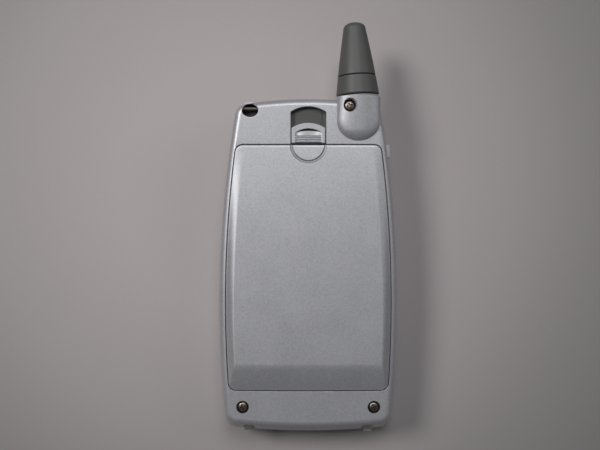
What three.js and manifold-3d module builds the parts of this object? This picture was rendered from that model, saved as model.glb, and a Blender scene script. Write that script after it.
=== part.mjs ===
// A silver bar-shaped mobile phone with a pull-out antenna, lying on its front.
// Millimetres. +X is to the right seen from the back, +Y towards the antenna, +Z out of the back.
// The origin is on the plane of the front bezel, which the phone rests on, on its centre line.

import * as THREE from 'three';
import { mergeVertices } from 'three/addons/utils/BufferGeometryUtils.js';
import Module from 'manifold-3d';

const wasm = await Module();
wasm.setup();

// Driving dimensions

const wall = 1.5;                 // both casings
const gap = 0.25;                 // running and seam clearance
const seamHeight = 9.5;           // the casings meet here
const backHeight = 22.4;          // back surface where the battery cover starts
const backSlope = 0.0382;         // the back falls towards the foot
const shoulderRadius = 2.2;       // rounding between the back and the sides

const body = {                    // outline at the seam
  half: 29.0, top: 51.5, bottom: 55.3, corner: 4.0,
  waist: -13.3, sideRadius: 356, topRadius: 136, bottomRadius: 225,
};
const shoulder = { ...body, half: 27.9, top: 50.9, bottom: 52.3 };
const cover = {                   // opening for the battery cover
  ...body, half: 26.0, top: 36.65, bottom: 40.5, corner: 2.6, sideRadius: 380, topRadius: 4000,
  bottomRadius: 2000,
};
const coverTop = 22.6;            // flat of the battery cover
const coverFoot = 7.4;            // length of the slope at the cover's foot
const coverEdge = 1.6;            // thickness of the cover's edge
const ledgeDepth = 1.9;           // the cover's edge lies on this ledge
const ledgeThickness = 1.4;

const pack = { left: -20.5, right: 12.0, bottom: -33.0, top: 31.8, base: 12.0, lid: 20.9 };
const terminal = { left: -6.1, right: 2.1, bottom: -32.0, top: -28.8 };
const bayGap = 0.6;               // bay walls around the battery
const bayTopGap = 1.0;            // room for the battery's swing
const bayWall = 1.2;

const frontWall = 2.2;
const recess = { half: 19.6, bottom: -46.6, top: -3.2, depth: 0.9 };
const display = { half: 17.7, bottom: 9.8, top: 38.2 };
const keyFace = 0.3;              // keys stay clear of the resting plane
const windowFace = 0.25;
const columnPitch = 12.6;
const rowPitch = 7.4;
const firstRow = -20.0;
const keyWidth = 10.4;
const keyLength = 5.4;
const matFace = 3.75;             // leaves each key its 0.6 of travel
const boardBase = 5.6;
const boardTop = 6.6;

const antenna = { x: 15.6, y: 52.0, z: 19.4, lean: 3, rise: 3 };   // degrees off +Y
const collarLength = 6.2;
const collarRadius = 6.75;
const capRadius = 5.9;
const capEnd = 23.0;
const whipRadius = 1.0;
const whipFoot = -82.0;

const bossEnd = 37.8;             // rounded end of the antenna boss
const bossHalf = 6.8;
const bossRound = 6.2;
const bossEase = 3.2;             // the arch rises from the back over this length

const slot = { half: 5.5, side: 46.6, middle: 48.3 };
const slider = { half: 5.25, side: 41.6, middle: 43.2 };
const strap = { x: -18.1, y: 47.1, halfX: 2.5, halfY: 2.0, depth: 3.4 };

const screwSites = [
  { name: 'screw_bottom_left', x: -20.6, y: -45.6, top: 0, length: 11.0 },
  { name: 'screw_bottom_right', x: 20.6, y: -45.6, top: 0, length: 11.0 },
  { name: 'screw_antenna', x: 12.7, y: 48.3, top: 2.3, length: 5.0 },
];
const screwSink = 1.7;            // counterbore depth
const sideKey = { y: 35.3, z: 13.2, half: 2.2, thick: 1.3 };
const contactX = 19.1;

// Shape helpers

const group = new THREE.Group();
const backAt = (y) => backHeight + backSlope * (y - 36);
const radians = THREE.MathUtils.degToRad;

function solid(geometry) {
  const bare = geometry.clone();
  bare.deleteAttribute('normal');
  bare.deleteAttribute('uv');
  const merged = mergeVertices(bare, 1e-4);
  const corners = merged.index.array;
  const triangles = [];
  for (let i = 0; i < corners.length; i += 3) {
    const [a, b, c] = corners.slice(i, i + 3);
    if (a !== b && b !== c && c !== a) triangles.push(a, b, c);
  }
  return new wasm.Manifold(new wasm.Mesh({
    numProp: 3,
    vertProperties: new Float32Array(merged.attributes.position.array),
    triVerts: new Uint32Array(triangles),
  }));
}

function surface(shape) {
  const mesh = shape.getMesh();
  const geometry = new THREE.BufferGeometry();
  geometry.setAttribute('position', new THREE.BufferAttribute(mesh.vertProperties, 3));
  geometry.setIndex(new THREE.BufferAttribute(mesh.triVerts, 1));
  geometry.computeVertexNormals();
  return geometry;
}

function addPart(name, shape, finish, parent = group) {
  const mesh = new THREE.Mesh(surface(shape), new THREE.MeshStandardMaterial(finish));
  mesh.name = name;
  parent.add(mesh);
}

const join = (...shapes) => shapes.reduce((all, next) => all.add(next));
const cut = (shape, ...tools) => tools.reduce((rest, tool) => rest.subtract(tool), shape);

// A closed skin over rings of equal length, each counter-clockwise seen from the last ring's side.
function loft(rings) {
  const count = rings[0].length;
  const points = rings.flat();
  const middle = (ring) => [0, 1, 2].map((k) => ring.reduce((sum, p) => sum + p[k], 0) / count);
  const first = points.length;
  const last = first + 1;
  points.push(middle(rings[0]), middle(rings.at(-1)));
  const index = [];
  for (let i = 0; i < count; i += 1) {
    const next = (i + 1) % count;
    for (let level = 0; level < rings.length - 1; level += 1) {
      const [a, b] = [level * count + i, level * count + next];
      index.push(a, b, a + count, b, b + count, a + count);
    }
    const top = (rings.length - 1) * count;
    index.push(first, next, i, last, top + i, top + next);
  }
  const geometry = new THREE.BufferGeometry();
  geometry.setAttribute('position', new THREE.Float32BufferAttribute(points.flat(), 3));
  geometry.setIndex(index);
  return solid(geometry);
}

function arc(centre, radius, from, to, steps, skip = 0) {
  const points = [];
  for (let i = skip; i <= steps - skip; i += 1) {
    const angle = from + ((to - from) * i) / steps;
    points.push([centre[0] + radius * Math.cos(angle), centre[1] + radius * Math.sin(angle)]);
  }
  return points;
}

// Where circles of the given centres and radii meet, on the left of the line between them.
function meet(one, radiusOne, two, radiusTwo, side) {
  const [dx, dy] = [two[0] - one[0], two[1] - one[1]];
  const span = Math.hypot(dx, dy);
  const along = (radiusOne ** 2 - radiusTwo ** 2 + span ** 2) / (2 * span);
  const across = side * Math.sqrt(radiusOne ** 2 - along ** 2);
  return [one[0] + (along * dx - across * dy) / span, one[1] + (along * dy + across * dx) / span];
}

// Four shallow arcs with rounded corners, counter-clockwise from the middle of the foot.
function outline(form) {
  const side = [form.half - form.sideRadius, form.waist];
  const head = [0, form.top - form.topRadius];
  const foot = [0, form.bottomRadius - form.bottom];
  const bearing = (from, to) => Math.atan2(to[1] - from[1], to[0] - from[0]);
  const low = meet(side, form.sideRadius - form.corner, foot, form.bottomRadius - form.corner, -1);
  const high = meet(side, form.sideRadius - form.corner, head, form.topRadius - form.corner, 1);
  const right = [
    ...arc(foot, form.bottomRadius, -Math.PI / 2, bearing(foot, low), 2, 1),
    ...arc(low, form.corner, bearing(foot, low), bearing(side, low), 4),
    ...arc(side, form.sideRadius, bearing(side, low), bearing(side, high), 6, 1),
    ...arc(high, form.corner, bearing(side, high), bearing(head, high), 4),
    ...arc(head, form.topRadius, bearing(head, high), Math.PI / 2, 2, 1),
  ];
  const left = right.map(([x, y]) => [-x, y]).reverse();
  return [[0, -form.bottom], ...right, [0, form.top], ...left];
}

function shrink(form, side, top = side, bottom = side) {
  return {
    ...form,
    half: form.half - side,
    top: form.top - top,
    bottom: form.bottom - bottom,
    corner: Math.max(form.corner - Math.max(side, 0), 0.6),
  };
}

// Points lifted to a height, given as a number or as a function of y.
function lift(points, height) {
  return points.map(([x, y]) => [x, y, typeof height === 'function' ? height(y) : height]);
}

const offBack = (distance) => (y) => backAt(y) + distance;

function onBack(points, low, high) {
  return loft([lift(points, offBack(low)), lift(points, offBack(high))]);
}

function rectangle(left, right, bottom, top) {
  return [[left, bottom], [right, bottom], [right, top], [left, top]];
}

function box(left, right, bottom, top, low, high) {
  const points = rectangle(left, right, bottom, top);
  return loft([lift(points, low), lift(points, high)]);
}

function rounded(left, right, bottom, top, radius, steps = 3) {
  const quarter = Math.PI / 2;
  return [
    ...arc([right - radius, bottom + radius], radius, -quarter, 0, steps),
    ...arc([right - radius, top - radius], radius, 0, quarter, steps),
    ...arc([left + radius, top - radius], radius, quarter, 2 * quarter, steps),
    ...arc([left + radius, bottom + radius], radius, 2 * quarter, 3 * quarter, steps),
  ];
}

function prism(points, low, high) {
  return loft([lift(points, low), lift(points, high)]);
}

function disc(x, y, radius, low, high, sides = 16) {
  const points = arc([x, y], radius, 0, 2 * Math.PI, sides).slice(0, sides);
  return prism(points, low, high);
}

function ellipse(x, y, halfX, halfY, sides = 24) {
  const turn = (i) => (2 * Math.PI * i) / sides;
  const point = (_, i) => [x + halfX * Math.cos(turn(i)), y + halfY * Math.sin(turn(i))];
  return Array.from({ length: sides }, point);
}

// A plate with a straight near edge and an arched far edge.
function arched({ half, side, middle }, start) {
  const rise = middle - side;
  const radius = (half ** 2 + rise ** 2) / (2 * rise);
  const swing = Math.asin(half / radius);
  const crown = arc([0, middle - radius], radius, Math.PI / 2 - swing, Math.PI / 2 + swing, 8);
  return [[-half, start], [half, start], ...crown];
}

function lathe(profile, sides = 24) {
  const points = profile.map(([radius, along]) => new THREE.Vector2(radius, along));
  return solid(new THREE.LatheGeometry(points, sides));
}

function rod(radius, from, to, sides = 24) {
  return lathe([[0, from], [radius, from], [radius, to], [0, to]], sides);
}

function coil(radius, wire, turns, from, to) {
  class Helix extends THREE.Curve {
    getPoint(t, target = new THREE.Vector3()) {
      const angle = 2 * Math.PI * turns * t;
      return target.set(radius * Math.cos(angle), from + (to - from) * t, radius * Math.sin(angle));
    }
  }
  const section = new THREE.Shape().absarc(0, 0, wire, 0, 2 * Math.PI);
  const settings = { extrudePath: new Helix(), steps: turns * 9, curveSegments: 2 };
  return solid(new THREE.ExtrudeGeometry(section, settings));
}

// Finishes

const silver = { color: 0xb4b5ba, roughness: 0.42, metalness: 0.55 };
const darkGrey = { color: 0x525252, roughness: 0.5, metalness: 0.05 };
const keyGrey = { color: 0xd8d9dc, roughness: 0.45, metalness: 0.1 };
const bronze = { color: 0x8f7f6c, roughness: 0.35, metalness: 1 };
const gold = { color: 0xc8a45a, roughness: 0.3, metalness: 1 };
const nickel = { color: 0xbfc0c2, roughness: 0.3, metalness: 1 };
const boardGreen = { color: 0x1f5a3a, roughness: 0.55, metalness: 0 };
const rubber = { color: 0x35363a, roughness: 0.85, metalness: 0 };
const glass = { color: 0x2b302f, roughness: 0.1, metalness: 0 };
const liquidCrystal = { color: 0x7f8f6e, roughness: 0.25, metalness: 0 };
const wrap = { color: 0x2f4d8a, roughness: 0.5, metalness: 0 };

// The seat of the antenna, whose own Y axis is the line the antenna slides along

const seat = new THREE.Group();
seat.position.set(antenna.x, antenna.y, antenna.z);
seat.rotation.set(radians(antenna.rise), 0, radians(antenna.lean));
seat.updateMatrix();
group.add(seat);

const toSeat = (shape) => solid(surface(shape).applyMatrix4(seat.matrix));

// Rear casing

function rearSkin() {
  const arcs = [0, 30, 60, 90].map(radians);
  const rings = arcs.map((angle) => {
    const inset = shoulderRadius * (1 - Math.cos(angle));
    const drop = shoulderRadius * (1 - Math.sin(angle));
    return lift(outline(shrink(shoulder, inset)), offBack(-drop));
  });
  return loft([lift(outline(body), seamHeight + gap / 2), ...rings]);
}

function rearCavity() {
  return loft([
    lift(outline(shrink(body, wall)), seamHeight - 1),
    lift(outline(shrink(shoulder, wall)), offBack(-shoulderRadius - 1)),
    lift(outline(shrink(shoulder, wall + 0.6)), offBack(-wall)),
  ]);
}

// The arch of the antenna boss, from its rounded end to the collar.
function bossArch() {
  const stations = [0.1, 0.4, 1.0, 2.0, bossEase, bossRound, 10.0, antenna.y - bossEnd - 0.8];
  return loft(stations.map((along) => {
    const y = bossEnd + along;
    const reach = 1 - Math.min(along / bossRound, 1);
    const half = bossHalf * Math.sqrt(1 - reach ** 2);
    const ease = Math.sqrt(1 - (1 - Math.min(along / bossEase, 1)) ** 2);
    const crown = (1.9 + 0.095 * along) * ease;
    const arch = arc([0, 0], 1, Math.PI, 0, 10);
    const top = arch.map(([x, z]) => [antenna.x + half * x, y, backAt(y) + crown * z]);
    const low = backAt(y) - 2.5;
    return [...top, [antenna.x + half, y, low], [antenna.x - half, y, low]];
  }));
}

// The solid seat of the collar, narrowing into the casing under the arch.
function bossBlock() {
  return toSeat(lathe([[0, -12.5], [3.6, -12.5], [collarRadius - 0.05, 0], [0, 0]], 32));
}

function bayTub() {
  const left = pack.left - bayGap;
  const right = pack.right + bayGap;
  const bottom = pack.bottom - bayGap - 0.4;
  const top = pack.top + bayTopGap;
  const floor = pack.base - 0.4;
  return {
    shell: box(left - bayWall, right + bayWall, bottom - bayWall, top + bayWall, floor - bayWall, 24),
    hollow: box(left, right, bottom, top, floor, 30),
  };
}

function screwPost(site) {
  return disc(site.x, site.y, 2.7, seamHeight + 0.4, backAt(site.y) - 0.8);
}

function screwHole(site) {
  const top = backAt(site.y) + site.top;
  const floor = top - screwSink;
  const shaft = disc(site.x, site.y, 0.95, site.top ? floor - site.length - 0.5 : 0, floor + 0.1, 12);
  return join(shaft, disc(site.x, site.y, 1.9, floor, top + 4, 20));
}

function strapHole() {
  const mouth = ellipse(strap.x, strap.y, strap.halfX, strap.halfY);
  return onBack(mouth, -strap.depth, 3);
}

function strapCup() {
  const rim = ellipse(strap.x, strap.y, strap.halfX + 0.8, strap.halfY + 0.8);
  return onBack(rim, -strap.depth - 0.8, -wall + 0.3);
}

function strapBar() {
  const [left, right] = [strap.x - strap.halfX - 0.5, strap.x + strap.halfX + 0.5];
  return onBack(rectangle(left, right, strap.y + 0.5, strap.y + 1.4), -2.0, -0.9);
}

function rearCase() {
  const tub = bayTub();
  const ledge = onBack(outline(shrink(cover, -1.2)), -ledgeDepth - ledgeThickness, -1.2);
  const opening = onBack(outline(cover), -ledgeDepth, 6);
  const channel = toSeat(box(-2.5, 2.5, whipFoot - 4, -15.9, -2.5, 8));
  const posts = screwSites.filter((site) => !site.top).map(screwPost);
  const shell = join(cut(rearSkin(), rearCavity()), ledge, tub.shell, ...posts, strapCup());
  const slotTool = loft([
    lift(arched(slot, cover.top - 0.5), offBack(-4)),
    lift(arched(slot, cover.top - 0.5), offBack(4)),
  ]);
  const sideKeyHole = box(22, 28, sideKey.y - sideKey.half - gap, sideKey.y + sideKey.half + gap,
    sideKey.z - sideKey.thick - gap, sideKey.z + sideKey.thick + gap);
  const contactSlots = [-contactX, contactX].map((x) => box(x - 1.6, x + 1.6, -57, -50, 10.4, 14.6));
  const terminalSlot = box(terminal.left - gap, terminal.right + gap, terminal.bottom - gap,
    terminal.top + gap, 9, 14);
  const moulding = cut(join(shell, bossArch(), bossBlock()), opening, tub.hollow, channel, slotTool,
    toSeat(rod(2.4, -30, 4)), ...screwSites.map(screwHole), strapHole(), sideKeyHole,
    ...contactSlots, terminalSlot);
  return join(moulding, strapBar());
}

addPart('rear_case', rearCase(), silver);

// Front casing

function frontSkin() {
  const levels = [[4.6, 0], [2.8, 0.7], [1.4, 2.0], [0.4, 4.5], [0, seamHeight - gap / 2]];
  return loft(levels.map(([inset, height]) => lift(outline(shrink(body, inset)), height)));
}

function frontCavity() {
  const levels = [[3.6, frontWall], [1.9, 4.5], [wall, seamHeight + 1]];
  return loft(levels.map(([inset, height]) => lift(outline(shrink(body, inset)), height)));
}

const keys = [];

function addKey(name, x, y, width = keyWidth, length = keyLength, round = 1.6) {
  keys.push({ name, x, y, width, length, round });
}

const digitRows = [['1', '2', '3'], ['4', '5', '6'], ['7', '8', '9'], ['star', '0', 'hash']];
digitRows.forEach((row, line) => row.forEach((label, column) => {
  addKey(`key_${label}`, (1 - column) * columnPitch, firstRow - line * rowPitch);
}));
addKey('soft_key_left', columnPitch + 0.2, -7.2, 9.2, 4.4);
addKey('soft_key_right', -columnPitch - 0.2, -7.2, 9.2, 4.4);
addKey('key_call', columnPitch + 0.2, -13.3, 9.2, 4.4);
addKey('key_end', -columnPitch - 0.2, -13.3, 9.2, 4.4);
addKey('key_clear', 0, -14.2, 8.4, 3.4);
addKey('scroll_key', 0, -8.0, 11.0, 6.4, 3.1);

const keyOutline = ({ x, y, width, length, round }, grow) => rounded(x - width / 2 - grow,
  x + width / 2 + grow, y - length / 2 - grow, y + length / 2 + grow, round + grow, 2);

function frontCase() {
  const field = prism(rounded(-recess.half, recess.half, recess.bottom, recess.top, 3), -1, recess.depth);
  const view = box(-display.half + 1, display.half - 1, display.bottom + 1, display.top - 1, -1, 5);
  const glazing = prism(rounded(-display.half - 0.2, display.half + 0.2, display.bottom - 0.2,
    display.top + 0.2, 1.6), -1, 1.45);
  const ears = [-1.4, 0, 1.4].map((shift) => prism(
    rounded(-3.6 + Math.abs(shift), 3.6 - Math.abs(shift), 43.1 + shift, 43.8 + shift, 0.34), -1, 4));
  const keyHoles = keys.map((key) => prism(keyOutline(key, gap), -1, 4));
  const socket = box(-6.4, 6.4, -57, -50, 6.5, 12);
  const posts = screwSites.filter((site) => !site.top)
    .map((site) => disc(site.x, site.y, 2.1, 1.5, seamHeight - gap / 2));
  const holes = screwSites.filter((site) => !site.top)
    .map((site) => disc(site.x, site.y, 1.05, 5.5, seamHeight + 1, 12));
  const mouthHole = disc(8, -48.6, 0.5, -1, 4, 10);
  const shell = join(cut(frontSkin(), frontCavity()), ...posts);
  return cut(shell, field, view, glazing, ...ears, ...keyHoles, socket, ...holes, mouthHole);
}

addPart('front_case', frontCase(), silver);

// Display and sound

addPart('display_window', prism(rounded(-display.half, display.half, display.bottom, display.top, 1.4),
  windowFace, 1.4), glass);
addPart('lcd_frame', cut(box(-19.5, 19.5, 8.0, 38.9, 2.5, 5.3), box(-18.1, 18.1, 8.9, 38.4, 2, 4.8)),
  darkGrey);
addPart('lcd_panel', box(-17.8, 17.8, 9.2, 38.1, 2.6, 4.5), liquidCrystal);
addPart('earpiece_mesh', prism(rounded(-4.6, 4.6, 41.0, 45.9, 2), 2.3, 2.5), darkGrey);
addPart('earpiece_receiver', disc(0, 43.4, 4.2, 2.7, 5.3, 24), nickel);
addPart('microphone', disc(8, -48.6, 2.0, 2.5, 5.2), nickel);

// Circuit board and what stands on it

function mainBoard() {
  const sheet = prism(outline(shrink(body, 2.6)), boardBase, boardTop);
  const notches = screwSites.filter((site) => !site.top)
    .map((site) => disc(site.x, site.y, 2.5, boardBase - 1, boardTop + 1));
  return cut(sheet, ...notches);
}

function can(left, right, bottom, top) {
  const outer = box(left, right, bottom, top, boardTop + 0.1, 9.6);
  return cut(outer, box(left + 0.5, right - 0.5, bottom + 0.5, top - 0.5, boardTop - 1, 9.1));
}

addPart('main_board', mainBoard(), boardGreen);
addPart('rf_shield', can(-21, 4, 12, 34), nickel);
addPart('logic_shield', can(-20, 20, -28, 6), nickel);
addPart('battery_terminal', box(terminal.left, terminal.right, terminal.bottom, terminal.top,
  boardTop + 0.1, pack.base - 0.2), gold);
addPart('backup_cell', disc(13.5, 23, 4.0, boardTop + 0.1, 8.9, 20), nickel);
addPart('io_connector', cut(box(-6.1, 6.1, -54.3, -48.6, boardTop + 0.1, 9.2),
  box(-5.3, 5.3, -55, -50.4, 7.3, 8.6)), darkGrey);

const motorAt = { x: -14.5, z: 9.3 };
const alongY = (shape) => solid(surface(shape).translate(motorAt.x, 0, motorAt.z));
addPart('vibration_motor', alongY(rod(2.2, 37.6, 44.6, 20)), nickel);

function vibrationWeight() {
  const half = cut(rod(2.1, 45.4, 48.2, 20), box(-3, 3, 40, 50, 0.1, 3));
  return alongY(join(half, rod(0.5, 44.8, 48.0, 10)));
}

addPart('vibration_weight', vibrationWeight(), nickel);

// Keys, each with a flange behind the front wall, and the rubber mat of domes that carries them

function keyShape(key) {
  const crown = prism(keyOutline(key, 0), keyFace, 2.6);
  const flange = prism(rounded(key.x - key.width / 2 - 0.35, key.x + key.width / 2 + 0.35,
    key.y - key.length / 2 - 0.35, key.y + key.length / 2 + 0.35, 0.8, 1), frontWall + 0.15, 2.95);
  return join(crown, flange);
}

function keypadMat() {
  const sheet = box(-18.1, 18.1, -46.4, -3.6, 4.45, 5.3);
  const domes = keys.map((key) => disc(key.x, key.y, 1.6, matFace, 4.6, 6));
  return join(sheet, ...domes);
}

addPart('keypad_mat', keypadMat(), rubber);
keys.forEach((key) => addPart(key.name, keyShape(key), keyGrey));

function sideKeyShape() {
  const { y, z, half, thick } = sideKey;
  const stem = box(22.6, 26.4, y - half, y + half, z - thick, z + thick);
  const flange = box(22.3, 22.9, y - half - 0.6, y + half + 0.6, z - thick - 0.6, z + thick + 0.6);
  return join(stem, flange);
}

addPart('side_key', sideKeyShape(), darkGrey);

// Charging contacts on the slanting foot

function chargeContact(x) {
  const foot = (z) => -body.bottom + (0.4 * (z - seamHeight)) + (x * x) / 450;
  const level = (z) => rectangle(x - 1.3, x + 1.3, foot(z) - 1.2, foot(z) + 2.2)
    .map(([px, py]) => [px, py, z]);
  return loft([level(10.7), level(14.3)]);
}

addPart('charge_contact_left', chargeContact(-contactX), gold);
addPart('charge_contact_right', chargeContact(contactX), gold);

// Battery pack: cover, tray, cell and protection board in one removable piece

function coverShape() {
  const edge = shrink(cover, gap);
  const bevel = [0, 22, 45, 68, 90].map(radians);
  const rings = bevel.map((angle) => {
    const run = 1 - Math.cos(angle);
    const climb = Math.sin(angle);
    const form = shrink(edge, 2.5 * run, 0.6 * run, coverFoot * run);
    return lift(outline(form), (y) => {
      const foot = Math.min(Math.max((y + edge.bottom) / coverFoot, 0), 1);
      const rise = (coverTop - backAt(y)) * climb;
      const facet = backAt(-edge.bottom) + (coverTop - backAt(-edge.bottom)) * foot;
      return Math.min(backAt(y) + rise, Math.max(facet, backAt(y)));
    });
  });
  const skin = loft([lift(outline(edge), offBack(-coverEdge)), ...rings]);
  const under = loft([
    lift(outline(shrink(edge, 2.0, 2.0, 3.0)), offBack(-coverEdge - 1)),
    lift(outline(shrink(edge, 2.3, 2.2, 6.8)), 21.2),
  ]);
  return cut(skin, under);
}

function trayShape() {
  const { left, right, bottom, top, base, lid } = pack;
  const skin = box(left, right, bottom, top, base, lid);
  return cut(skin, box(left + 0.8, right - 0.8, bottom + 0.8, top - 0.8, base + 0.8, lid + 1));
}

addPart('battery_cover', coverShape(), silver);
addPart('battery_tray', trayShape(), darkGrey);
addPart('battery_cell', prism(rounded(pack.left + 1.1, pack.right - 1.1, pack.bottom + 2.4,
  pack.top - 1.1, 3), pack.base + 1.1, pack.lid - 1.0), wrap);
addPart('battery_board', box(pack.left + 2.8, pack.right - 2.8, pack.bottom + 1.1, pack.bottom + 2.0,
  pack.base + 1.2, pack.lid - 1.3), boardGreen);

// Latch: slider over a fixed plate, pushed towards the cover by a spring below the plate

function latchSlider() {
  const plate = onBack(arched(slider, cover.top + gap), -1.5, 0.3);
  const scoop = onBack(ellipse(0, 40.0, 4.0, 1.5), -0.2, 2);
  const stem = onBack(rectangle(-0.9, 0.9, 38.3, 39.6), -4.8, -1.0);
  return join(cut(plate, scoop), stem);
}

function latchPlate() {
  const plate = onBack(rectangle(-7, 7, 37.9, 48.6), -2.9, -1.8);
  const slit = onBack(rectangle(-1.2, 1.2, 36, 42.9), -4, 0);
  const post = onBack(rectangle(-1.6, 1.6, 47.7, 48.5), -5.2, -2.5);
  return join(cut(plate, slit), post);
}

function latchSpring() {
  const start = 40.1;
  const turned = surface(coil(0.9, 0.22, 5, 0, 7.3)).rotateX(Math.atan(backSlope));
  return solid(turned.translate(0, start, backAt(start) - 4.1));
}

addPart('latch_slider', latchSlider(), silver);
addPart('latch_plate', latchPlate(), darkGrey);
addPart('latch_spring', latchSpring(), nickel);

// Antenna: collar, bush and guide tube fixed in the casing; cap, coil, whip and stop slide

function collarShape() {
  return lathe([[1.6, -2.0], [2.1, -2.0], [2.1, 0.3], [6.35, 0.3], [collarRadius, 0.6],
    [capRadius + 0.1, 6.0], [capRadius - 0.1, collarLength], [1.6, collarLength], [1.6, -2.0]], 28);
}

function capShape() {
  const start = collarLength + gap;
  return lathe([[0, 19.8], [1.35, 19.8], [1.35, 18.0], [2.9, 18.0], [2.9, start],
    [capRadius - 0.15, start], [capRadius, start + 0.15], [3.5, 21.0], [3.2, 22.0], [2.3, 22.75],
    [1.1, capEnd], [0, capEnd]], 28);
}

addPart('antenna_collar', collarShape(), darkGrey, seat);
addPart('antenna_bush', lathe([[1.3, -8.5], [2.1, -8.5], [2.1, -2.3], [1.3, -2.3], [1.3, -8.5]], 20),
  gold, seat);
addPart('antenna_tube', lathe([[1.5, -83.5], [1.9, -83.5], [1.9, -8.8], [1.5, -8.8], [1.5, -83.5]], 16),
  darkGrey, seat);
addPart('antenna_cap', capShape(), darkGrey, seat);
addPart('antenna_coil', coil(2.2, 0.25, 6, 7.2, 16.8), gold, seat);
addPart('antenna_whip', rod(whipRadius, whipFoot, 19.5, 16), nickel, seat);
addPart('antenna_stop', lathe([[whipRadius + 0.1, whipFoot + 1], [1.35, whipFoot + 1],
  [1.35, whipFoot + 3], [whipRadius + 0.1, whipFoot + 3], [whipRadius + 0.1, whipFoot + 1]], 16),
gold, seat);

// Screws with cross recesses

function screw(site) {
  const seatHeight = backAt(site.y) + site.top - screwSink + 0.05;
  const head = disc(site.x, site.y, 1.65, seatHeight, seatHeight + 1.0, 20);
  const shank = disc(site.x, site.y, 0.75, seatHeight - site.length, seatHeight + 0.1, 10);
  const slots = [[1.1, 0.22], [0.22, 1.1]].map(([halfX, halfY]) => box(site.x - halfX, site.x + halfX,
    site.y - halfY, site.y + halfY, seatHeight + 0.45, seatHeight + 2));
  return cut(join(head, shank), ...slots);
}

screwSites.forEach((site) => addPart(site.name, screw(site), bronze));

export default group;
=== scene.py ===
import math

import bmesh
import bpy
from mathutils import Matrix, Vector


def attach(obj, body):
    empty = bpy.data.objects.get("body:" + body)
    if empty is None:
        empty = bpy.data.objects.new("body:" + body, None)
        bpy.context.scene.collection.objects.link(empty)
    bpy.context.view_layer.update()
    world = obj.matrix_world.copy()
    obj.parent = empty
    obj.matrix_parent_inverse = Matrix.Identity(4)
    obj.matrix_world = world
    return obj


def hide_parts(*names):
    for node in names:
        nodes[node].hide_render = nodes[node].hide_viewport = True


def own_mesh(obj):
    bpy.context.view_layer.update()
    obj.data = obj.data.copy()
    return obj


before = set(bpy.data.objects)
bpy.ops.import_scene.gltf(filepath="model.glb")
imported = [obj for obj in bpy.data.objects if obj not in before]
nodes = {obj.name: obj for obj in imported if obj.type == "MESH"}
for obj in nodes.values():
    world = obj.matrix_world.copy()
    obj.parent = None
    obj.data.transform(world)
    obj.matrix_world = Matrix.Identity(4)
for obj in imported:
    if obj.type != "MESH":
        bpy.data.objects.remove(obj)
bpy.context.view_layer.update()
print("frame loaded")

mm = 0.001


# Outlines, in millimetres

def arc(centre, radius, start, end, steps, skip=0):
    points = []
    for i in range(skip, steps - skip + 1):
        angle = start + (end - start) * i / steps
        points.append((centre[0] + radius * math.cos(angle), centre[1] + radius * math.sin(angle)))
    return points


def meet(one, radiusOne, two, radiusTwo, side):      # where two circles cross
    dx, dy = two[0] - one[0], two[1] - one[1]
    span = math.hypot(dx, dy)
    along = (radiusOne ** 2 - radiusTwo ** 2 + span ** 2) / (2 * span)
    across = side * math.sqrt(radiusOne ** 2 - along ** 2)
    return (one[0] + (along * dx - across * dy) / span, one[1] + (along * dy + across * dx) / span)


def outline(form, fine=1):                           # four shallow arcs and four round corners
    side = (form["half"] - form["sideRadius"], form["waist"])
    head = (0, form["top"] - form["topRadius"])
    foot = (0, form["bottomRadius"] - form["bottom"])
    corner = form["corner"]

    def bearing(start, end):
        return math.atan2(end[1] - start[1], end[0] - start[0])

    low = meet(side, form["sideRadius"] - corner, foot, form["bottomRadius"] - corner, -1)
    high = meet(side, form["sideRadius"] - corner, head, form["topRadius"] - corner, 1)
    quarter = math.pi / 2
    right = (arc(foot, form["bottomRadius"], -quarter, bearing(foot, low), 8 * fine, 1)
             + arc(low, corner, bearing(foot, low), bearing(side, low), 10 * fine)
             + arc(side, form["sideRadius"], bearing(side, low), bearing(side, high), 24 * fine, 1)
             + arc(high, corner, bearing(side, high), bearing(head, high), 10 * fine)
             + arc(head, form["topRadius"], bearing(head, high), quarter, 8 * fine, 1))
    left = [(-x, y) for x, y in reversed(right)]
    return [(0, -form["bottom"])] + right + [(0, form["top"])] + left


def shrink(form, side, top=None, bottom=None):
    top = side if top is None else top
    bottom = side if bottom is None else bottom
    return {**form, "half": form["half"] - side, "top": form["top"] - top,
            "bottom": form["bottom"] - bottom, "corner": max(form["corner"] - max(side, 0), 0.6)}


def rectangle(left, right, bottom, top):
    return [(left, bottom), (right, bottom), (right, top), (left, top)]


def roundedBox(left, right, bottom, top, radius, steps=8):
    quarter = math.pi / 2
    return (arc((right - radius, bottom + radius), radius, -quarter, 0, steps)
            + arc((right - radius, top - radius), radius, 0, quarter, steps)
            + arc((left + radius, top - radius), radius, quarter, 2 * quarter, steps)
            + arc((left + radius, bottom + radius), radius, 2 * quarter, 3 * quarter, steps))


def ellipse(x, y, halfX, halfY, sides=64):
    turns = [2 * math.pi * i / sides for i in range(sides)]
    return [(x + halfX * math.cos(a), y + halfY * math.sin(a)) for a in turns]


def arched(half, side, middle, start, steps=24):     # a plate with an arched far edge
    rise = middle - side
    radius = (half ** 2 + rise ** 2) / (2 * rise)
    swing = math.asin(half / radius)
    crown = arc((0, middle - radius), radius, math.pi / 2 - swing, math.pi / 2 + swing, steps)
    return [(-half, start), (half, start)] + crown


def spread(points, distance):                        # moves a closed outline outwards
    count = len(points)
    moved = []
    for i, (x, y) in enumerate(points):
        before, after = points[i - 1], points[(i + 1) % count]
        one = Vector((x - before[0], y - before[1])).normalized()
        two = Vector((after[0] - x, after[1] - y)).normalized()
        normal = Vector((one.y + two.y, -one.x - two.x))
        scale = distance / max(normal.length / 2, 0.5) ** 2 / 2
        moved.append((x + normal.x * scale, y + normal.y * scale))
    return moved


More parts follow.
